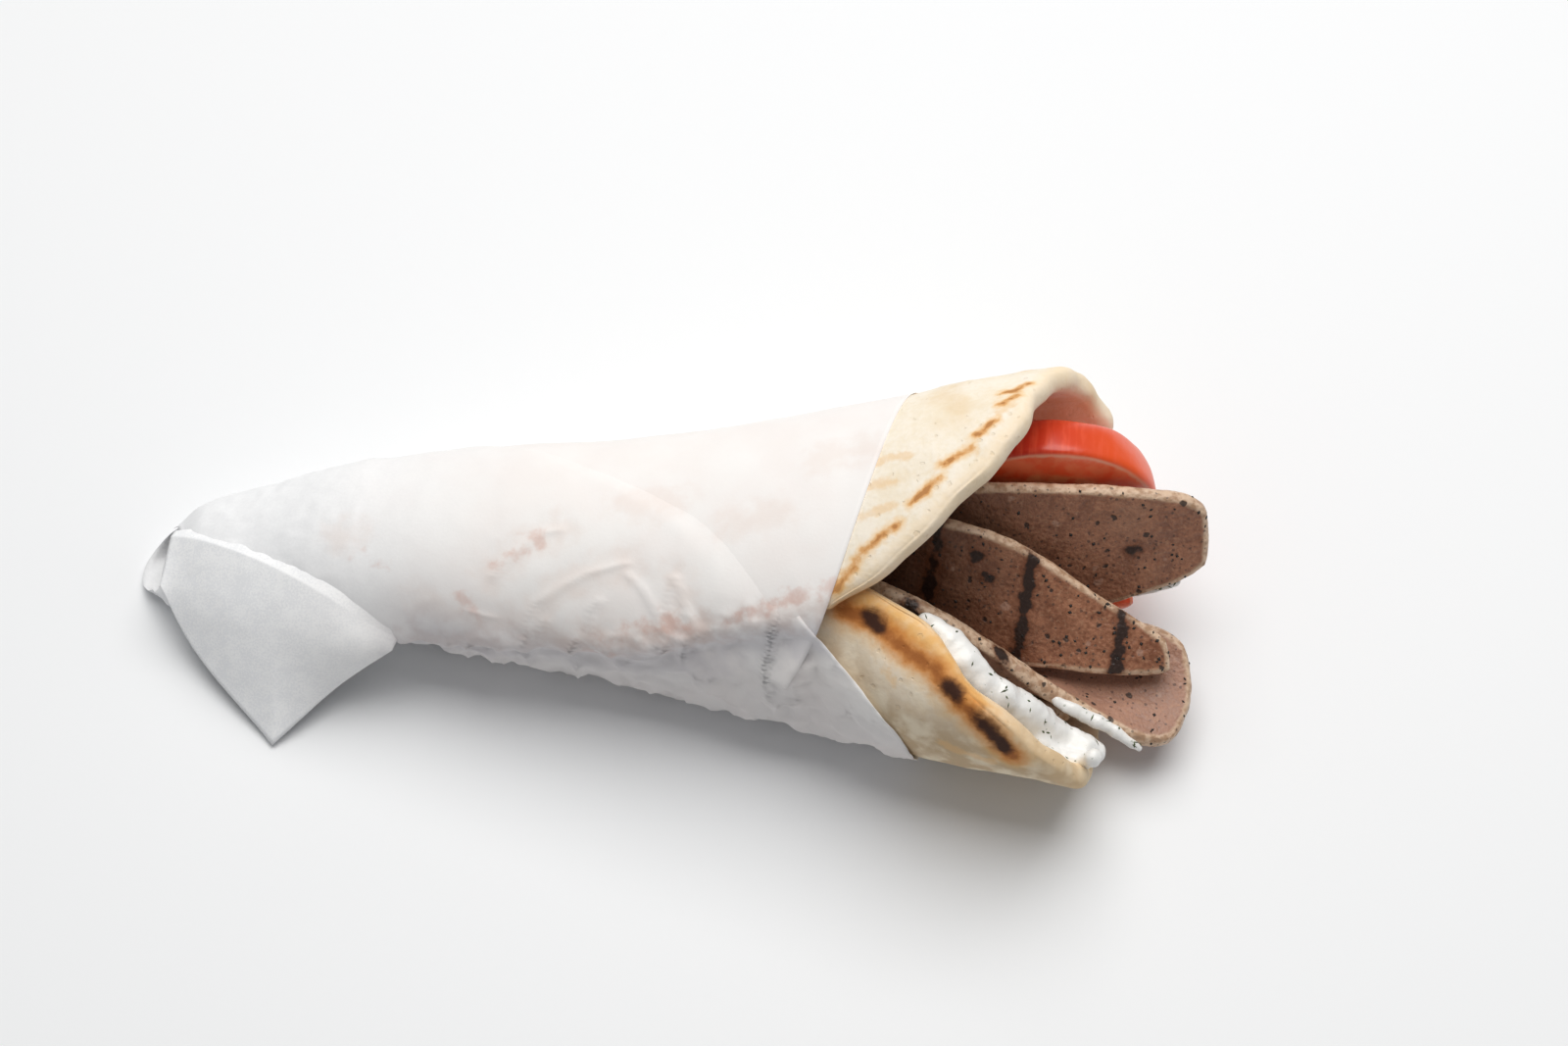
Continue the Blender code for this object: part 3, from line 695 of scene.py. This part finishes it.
def slice_place(rows):
    upper, middle, lower = zip(*rows)

    def place(u, v):
        u = u + 0.9 * (u - 0.5) * u * (1.0 - u)      # rows lie closer together near the two ends
        from_end = np.clip(np.minimum(u, 1.0 - u) / SLICE_END, 0.0, 1.0)
        share = SLICE_END_WIDTH + (1.0 - SLICE_END_WIDTH) * np.sqrt(1.0 - (1.0 - from_end) ** 2)
        w = (0.5 + (v - 0.5) * share)[:, None]
        return (through(upper, u) * (1.0 - 3.0 * w + 2.0 * w * w)
                + through(middle, u) * (4.0 * w - 4.0 * w * w) + through(lower, u) * (2.0 * w * w - w))

    return place


def make_slice(name, rows, seed):
    piece = grid_sheet("gyro_slice_" + name, 170, 46, slice_place(rows))
    from_edge = edge_distance(piece)
    note(piece, "from_edge", from_edge)
    thicken(piece, MEAT, MEAT_ROUND)
    relief(piece, 11.0, 0.28, seed, 2)
    relief(piece, 2.6, 0.14, seed + 10, 3)
    return piece


slices = {name: make_slice(name, rows, 20 + k) for k, (name, rows) in enumerate(MEAT_SLICES.items())}
print("slices:", list(slices))

# %% [markdown]
# The grilled slice shows three dark bars from the grill. They run down its face, so each is a line through
# two places on it, and the distance to that line is stored as for the bread.

# %% Grill bars on a slice
GRILL_BARS = {
    "back": [((91.7, 10.2, 28.7), (92.4, 10.4, 29.2))],
    "grilled": [((52.8, 6.5, 40.0), (51.6, -4.6, 21.5)), ((71.8, 4.0, 35.5), (70.8, -12.4, 17.4)),
                ((60.6, 2.3, 34.7), (61.0, 1.9, 34.3)), ((63.2, -0.2, 31.2), (63.6, -0.6, 30.7)),
                ((91.3, -1.5, 25.6), (90.8, -12.2, 18.2))],
    "curled": [((47.9, -11.4, 37.0), (49.8, -13.4, 34.6)), ((66.8, -15.4, 28.6), (68.2, -16.6, 27.0))]}


def bar_distance(places, bars):
    best = np.full(len(places), 60.0)
    for a, b in bars:
        a, run = np.array(a), np.array(b) - np.array(a)
        t = np.clip((places - a) @ run / (run @ run), 0.0, 1.0)
        best = np.minimum(best, np.linalg.norm(places - a - t[:, None] * run, axis=1))
    return best


PALE = {"curled": 0.55, "back": 0.12}      # how much paler and pinker a slice's face is
for name, piece in slices.items():
    note(piece, "pale", np.full(len(piece.data.vertices), PALE.get(name, 0.0)))
    note(piece, "bar", bar_distance(places_of(piece), GRILL_BARS.get(name, [])))


# %% Meat's finish
def meat_finish():
    made, tree, shader = new_finish("gyro_meat", 0.5, Specular_IOR_Level=0.45)
    texture, fine = grain(tree, 5.0, 0.8, 0.5), cloud(tree, 1.6, 4.0)
    face = blend(tree, fade(tree, texture, 0.32, 0.68), (0.195, 0.070, 0.034), (0.40, 0.172, 0.092))
    face = blend(tree, fade(tree, cloud(tree, 14.0, 3.0), 0.5, 0.75, 0.0, 0.5), face, (0.42, 0.22, 0.13))
    face = blend(tree, stored(tree, "pale"), face, (0.46, 0.27, 0.20))
    face = blend(tree, fade(tree, cloud(tree, 0.9, 3.0), 0.52, 0.72, 0.0, 0.32), face, (0.55, 0.31, 0.19))
    # painted shade: the faces are painted darker from 82 mm inwards, nearly black by 44 mm, where the bread
    # shades the inside of the roll
    x = add(tree, "SeparateXYZ", {0: add(tree, "TexCoord").outputs["Object"]}).outputs[0]
    face = blend(tree, fade(tree, x, 0.082, 0.044, 0.0, 0.7), face, (0.085, 0.038, 0.022))
    ragged = sum_of(tree, "ADD", stored(tree, "from_edge"), sum_of(tree, "MULTIPLY", fine, 1.6))
    crust = blend(tree, fade(tree, fine, 0.35, 0.6), (0.46, 0.28, 0.17), (0.74, 0.54, 0.38))
    colour = blend(tree, fade(tree, ragged, 2.5, 1.7, 0.0, 0.9), face, crust)
    pepper = specks(tree, 3.4, 0.22)
    pepper_fine = specks(tree, 1.15, 0.32, 3.0)
    colour = blend(tree, sum_of(tree, "MULTIPLY", pepper_fine, 0.6), colour, (0.05, 0.035, 0.03))
    colour = blend(tree, sum_of(tree, "MULTIPLY", pepper, 0.85), colour, (0.018, 0.015, 0.014))
    fat = specks(tree, 4.7, 0.20, 7.0)
    colour = blend(tree, sum_of(tree, "MULTIPLY", fat, 0.35), colour, (0.55, 0.36, 0.28))
    wander = sum_of(tree, "MULTIPLY", sum_of(tree, "SUBTRACT", cloud(tree, 2.2, 6.0), 0.5), 4.0)
    away = sum_of(tree, "ADD", stored(tree, "bar"), wander)
    colour = blend(tree, fade(tree, away, 2.7, 0.8, 0.0, 0.75), colour, (0.15, 0.045, 0.016))
    colour = blend(tree, fade(tree, away, 1.45, 0.7, 0.0, 0.92), colour, (0.016, 0.008, 0.006))
    height = sum_of(tree, "SUBTRACT", texture, sum_of(tree, "MULTIPLY", pepper, 0.25))
    connect(tree, shader, colour, height, 0.55, 0.9, fade(tree, texture, 0.3, 0.7, 0.34, 0.58))
    return made


gyro_meat = meat_finish()
for name, piece in slices.items():
    finish_piece(piece, gyro_meat, "meat", "meat_slice_" + name)

# %% [markdown]
# ## The tomato
# A thick slice of tomato, cut straight a little past its middle, stands at the back with its round skin
# upwards, and a thinner half slice lies low between the slices. Each starts as a disc, is cut straight by a
# bisect, gets soft edges from a bevel and an even fine skin from a voxel remesh, which lets it swell a little
# without showing facets.

# %% Tomato slices
TOMATOES = {   # radius, thickness, centre, distance from it to the straight cut, turn about Z, lean about X
    "back": (22.8, 10.5, (74.0, 25.6, 23.8), 6.0, 5.0, 90.0),
    "low": (19.0, 4.5, (75.5, 6.0, 9.2), 0.0, 5.0, 14.0)}
TOMATO_DOME = 0.13         # share that the round skin narrows by towards the slice's far side
TOMATO_SWELL = 1.6         # mm that the middle of its face stands forward


def make_tomato(name, radius, thickness, centre, cut, turn, lean, seed):
    bpy.ops.object.select_all(action="DESELECT")
    bpy.ops.mesh.primitive_cylinder_add(vertices=120, radius=radius * MM, depth=thickness * MM)
    piece = bpy.context.object
    piece.name = piece.data.name = "tomato_" + name
    bpy.ops.object.mode_set(mode="EDIT")
    bpy.ops.mesh.select_all(action="SELECT")
    bpy.ops.mesh.bisect(plane_co=(0.0, -cut * MM, 0.0), plane_no=(0.0, 1.0, 0.0), clear_inner=True,
                        use_fill=True)
    bpy.ops.object.mode_set(mode="OBJECT")
    use(piece, "BEVEL", width=1.5 * MM, segments=4, limit_method="ANGLE", angle_limit=math.radians(40.0))
    use(piece, "REMESH", mode="VOXEL", voxel_size=0.55 * MM)
    use(piece, "SMOOTH", factor=0.5, iterations=6)
    local = places_of(piece)
    from_centre = np.hypot(local[:, 0], local[:, 1]) / radius
    note(piece, "from_centre", from_centre)
    narrow = 1.0 - TOMATO_DOME * np.clip(0.5 - local[:, 2] / thickness, 0.0, 1.0) ** 2
    fullness = 1.0 - np.clip(from_centre, 0.0, 1.0) ** 2
    swell = TOMATO_SWELL * fullness * np.clip(2.0 * local[:, 2] / thickness, 0.0, 1.0)
    none = 0.0 * swell
    put(piece, local * np.stack([narrow, narrow, 1.0 + none], -1) + np.stack([none, none, swell], -1))
    relief(piece, 9.0, 0.35, seed, 2)
    piece.rotation_euler = (math.radians(lean), 0.0, math.radians(turn))
    piece.location = Vector(centre) * MM
    bpy.ops.object.transform_apply(location=True, rotation=True, scale=True)
    return piece


tomatoes = {name: make_tomato(name, *sizes, 40 + k) for k, (name, sizes) in enumerate(TOMATOES.items())}


# %% Tomato's finish
def tomato_finish():
    made, tree, shader = new_finish("ripe_tomato", 0.34, Coat_Weight=0.08, Coat_Roughness=0.25)
    out = stored(tree, "from_centre")
    streaks = cloud(tree, 1.0, 2.0, (1.0, 0.15, 0.15))
    wander = sum_of(tree, "MULTIPLY", sum_of(tree, "SUBTRACT", cloud(tree, 2.5), 0.5), 0.05)
    ragged = sum_of(tree, "ADD", out, wander)
    # painted shade: the skin is painted dark red at its inner end, under the bread's flap, and bright red
    # towards the open end of the roll
    x = add(tree, "SeparateXYZ", {0: add(tree, "TexCoord").outputs["Object"]}).outputs[0]
    along = fade(tree, x, 0.060, 0.102)
    skin = blend(tree, along, (0.50, 0.010, 0.003), (0.95, 0.115, 0.012))
    skin = blend(tree, fade(tree, streaks, 0.4, 0.7, 0.0, 0.35), skin, (0.85, 0.12, 0.05))
    flesh = blend(tree, fade(tree, cloud(tree, 3.0), 0.35, 0.65), (0.95, 0.11, 0.03), (0.97, 0.19, 0.075))
    pulp = blend(tree, fade(tree, cloud(tree, 4.0, 2.0), 0.4, 0.6), (0.88, 0.12, 0.035), (0.95, 0.28, 0.11))
    inside = blend(tree, fade(tree, ragged, 0.66, 0.72), pulp, flesh)
    inside = blend(tree, fade(tree, ragged, 0.93, 0.965), inside, (0.90, 0.36, 0.22))
    colour = blend(tree, fade(tree, out, 0.955, 0.985), inside, skin)
    connect(tree, shader, colour, cloud(tree, 1.2, 2.0), 0.15, 0.25, fade(tree, out, 0.94, 0.98, 0.3, 0.32))
    return made


ripe_tomato = tomato_finish()
for name, piece in tomatoes.items():
    finish_piece(piece, ripe_tomato, "tomato", "tomato_slice_" + name)

# %% [markdown]
# ## The yogurt sauce
# Thick yogurt sauce lies along the inside of the front lip. It is spooned on, so it has no edges at all.
# Rows of round lumps are set close together, joined, remeshed into one skin and smoothed, which leaves
# rounded folds. Thin rows of small lumps give its smears.

# %% Sauce's shape
SAUCE_LUMPS = [   # place and radius of each lump, from the top of the lip down into the wrap
    (52.0, -16.9, 40.2, 2.1), (55.0, -19.2, 39.8, 2.9), (58.5, -22.2, 39.2, 3.4), (61.0, -24.8, 37.8, 3.8),
    (64.0, -27.0, 36.4, 3.5), (67.3, -28.2, 34.2, 3.8), (70.8, -28.6, 30.6, 4.0), (74.6, -28.8, 26.0, 4.0),
    (78.5, -29.2, 21.2, 4.1), (82.4, -30.0, 19.0, 3.7), (85.6, -30.8, 18.6, 3.1), (88.0, -30.6, 17.8, 2.4)]
SAUCE_BODY = [
    (56.0, -19.5, 34.5, 3.2), (61.0, -23.0, 32.0, 3.6), (66.0, -26.0, 28.5, 3.8), (71.0, -26.8, 24.0, 3.8),
    (75.5, -27.0, 18.8, 3.8), (80.0, -27.4, 15.4, 3.3), (84.0, -28.6, 15.0, 2.7)]
SAUCE_FILM = [    # on the lip's lower end, where it rises in a knob
    (76.0, -32.6, 24.6, 2.4), (79.0, -34.0, 22.6, 2.2), (82.4, -34.2, 21.2, 2.4), (85.4, -34.4, 21.4, 2.0),
    (87.0, -35.6, 25.6, 1.7)]
SAUCE_SMEARS = [  # along the curled slice's edge
    (79.6, -19.6, 17.2, 1.0), (83.0, -20.4, 15.9, 1.3), (86.4, -21.2, 14.6, 1.5), (90.0, -22.4, 13.4, 1.4),
    (93.6, -23.8, 12.3, 1.2), (97.2, -25.0, 10.6, 0.9)]
SAUCE_DROPS = [   # at the back slice's lower edge
    (94.0, 6.9, 17.9, 1.0), (96.8, 7.3, 18.9, 1.2), (99.4, 7.8, 20.0, 1.2), (102.0, 8.3, 21.2, 0.9)]


def lump(place, radius):
    bpy.ops.mesh.primitive_uv_sphere_add(segments=24, ring_count=16, radius=radius * MM,
                                         location=Vector(place) * MM)
    return bpy.context.object


def between(lumps, steps):
    """More lumps between the given ones, so that the row has no gaps."""
    keys = np.arange(len(lumps))
    along = np.linspace(0.0, keys[-1], keys[-1] * steps + 1)
    return np.stack([keyed(list(zip(keys, column)), along) for column in np.array(lumps, float).T], -1)


bpy.ops.object.select_all(action="DESELECT")
rows = (between(SAUCE_LUMPS, 3), between(SAUCE_BODY, 3), between(SAUCE_FILM, 3),
        between(SAUCE_SMEARS, 6), between(SAUCE_DROPS, 5))
lumps = [lump(row[:3], row[3] * (0.86 + 0.2 * noise.random())) for row in np.concatenate(rows)]
for piece in lumps:
    piece.select_set(True)
sauce = bpy.context.view_layer.objects.active = lumps[0]
bpy.ops.object.join()
bpy.ops.object.transform_apply(location=True, rotation=True, scale=True)
sauce.name = sauce.data.name = "yogurt_sauce_band"
use(sauce, "REMESH", mode="VOXEL", voxel_size=0.45 * MM)
use(sauce, "SMOOTH", factor=0.6, iterations=5)
relief(sauce, 6.0, 0.6, 50, 2)
relief(sauce, 2.4, 0.16, 51, 2)
use(sauce, "SMOOTH", factor=0.5, iterations=2)

# %% Sauce's finish
def sauce_finish():
    made, tree, shader = new_finish("yogurt_sauce", 0.3, Specular_IOR_Level=0.5, Coat_Weight=0.15)
    curds = grain(tree, 3.0, 0.7, 0.4)
    colour = blend(tree, fade(tree, curds, 0.3, 0.7), (0.88, 0.87, 0.835), (0.94, 0.93, 0.91))
    herbs = specks(tree, 1.6, 0.2, 2.0)
    colour = blend(tree, sum_of(tree, "MULTIPLY", herbs, 0.55), colour, (0.30, 0.34, 0.26))
    connect(tree, shader, colour, curds, 0.3, 0.4)
    return made


finish_piece(sauce, sauce_finish(), "yogurt_sauce", "yogurt_sauce")

# %% [markdown]
# ## Dill and pepper
# Chopped dill sits in the sauce and coarse pepper on the meat. Each kind is one mesh of many small flakes,
# turned to lie on the surface below them; a texture alone would lose their tiny shadows. Hundreds of flakes
# are quicker to write down as corners and faces than to add and turn one at a time.

# %% Flakes on a surface
def scatter(name, piece, count, seed, keep, size):
    """Little flattened four-sided flakes that lie on the outside of a piece, where keep is true."""
    chance = np.random.default_rng(seed)
    places, normals = places_of(piece), normals_of(piece)
    usable = np.flatnonzero(keep(places, normals))
    corners, faces = [], []
    for k in chance.choice(usable, count, replace=False):
        normal = Vector(normals[k])
        side = normal.orthogonal().normalized()
        side.rotate(Quaternion(normal, chance.uniform(0.0, 6.28)))
        ahead = normal.cross(side)
        long, wide, thick = chance.uniform(*size[0]), chance.uniform(*size[1]), size[2]
        middle, first = Vector(places[k]), len(corners)
        corners += [middle + side * long, middle + ahead * wide, middle - side * long,
                    middle - ahead * wide, middle + normal * thick, middle - normal * thick]
        for a in range(4):
            b = (a + 1) % 4
            faces += [(first + a, first + b, first + 4), (first + b, first + a, first + 5)]
    made = bpy.data.meshes.new(name)
    made.from_pydata([c * MM for c in corners], [], faces)
    flakes = bpy.data.objects.new(name, made)
    bpy.context.collection.objects.link(flakes)
    return flakes


def plain_finish(name, colour, roughness):
    made, tree, shader = new_finish(name, roughness)
    tones = blend(tree, fade(tree, cloud(tree, 1.5), 0.35, 0.65), colour, [c * 2.2 for c in colour])
    connect(tree, shader, tones, cloud(tree, 0.4), 0.05)
    return made


dill = scatter("dill_flecks", sauce, 60, 60, lambda p, n: n[:, 2] > 0.2, ((0.35, 0.9), (0.12, 0.28), 0.12))
finish_piece(dill, plain_finish("chopped_dill", (0.055, 0.075, 0.03), 0.6), "yogurt_sauce")
PEPPERED = {"back": 70, "grilled": 80, "curled": 60}      # grains of coarse pepper on each slice
pepper = [scatter("pepper_" + name, slices[name], count, 61, lambda p, n: (p[:, 0] > 40.0) & (n[:, 2] > 0.0),
                  ((0.25, 0.6), (0.2, 0.45), 0.22)) for name, count in PEPPERED.items()]
bpy.ops.object.select_all(action="DESELECT")
for piece in pepper:
    piece.select_set(True)
bpy.context.view_layer.objects.active = pepper[0]
bpy.ops.object.join()
pepper[0].name = pepper[0].data.name = "cracked_pepper"
finish_piece(pepper[0], plain_finish("black_pepper", (0.012, 0.010, 0.009), 0.5), "meat")

# %% [markdown]
# ## Table, light and camera
# The wrap lies on a plain white table. One large soft light stands behind and above it, so the near side is
# in open shade and the shadow falls towards the viewer; the pale surroundings fill it in.

# %% Table
bpy.ops.object.select_all(action="DESELECT")
bpy.ops.mesh.primitive_plane_add(size=6.0, location=(0.0, 0.0, 0.0))
table = bpy.context.object
table.name = table.data.name = "table"
white, tree, shader = new_finish("white_table", 0.55, Base_Color=(0.90, 0.905, 0.915, 1.0))
table.data.materials.append(white)

# %% Light
world = bpy.data.worlds.new("pale_room")
bpy.context.scene.world = world
world.use_nodes = True
ROOM_COLOUR, ROOM_STRENGTH = (0.94, 0.97, 1.0, 1.0), 0.25
world.node_tree.nodes["Background"].inputs["Color"].default_value = ROOM_COLOUR
world.node_tree.nodes["Background"].inputs["Strength"].default_value = ROOM_STRENGTH
AIM = Vector((21.06, 9.37, 27.07)) * MM                   # what the light and the camera point at
WINDOW_PLACE, WINDOW_SIZE, WINDOW_WATTS = (0.06, 0.40, 1.02), 1.1, 12.7


def soft_light(name, place, size, watts, colour):
    bpy.ops.object.light_add(type="AREA", location=place)
    lamp = bpy.context.object
    lamp.name = name
    lamp.rotation_euler = (AIM - Vector(place)).to_track_quat("-Z", "Y").to_euler()
    lamp.data.size, lamp.data.energy, lamp.data.color = size, watts, colour


soft_light("window_behind", WINDOW_PLACE, WINDOW_SIZE, WINDOW_WATTS, (1.0, 0.99, 0.97))

# %% Camera
EYE = Vector((56.82, -299.68, 565.93)) * MM
bpy.ops.object.camera_add(location=EYE)
camera = bpy.context.object
LENS, FILM_WIDTH = 70.0, 36.0                             # mm
camera.data.lens, camera.data.sensor_width = LENS, FILM_WIDTH
camera.rotation_euler = (AIM - EYE).to_track_quat("-Z", "Y").to_euler()
bpy.context.scene.camera = camera
bpy.context.scene.view_settings.view_transform = "Standard"
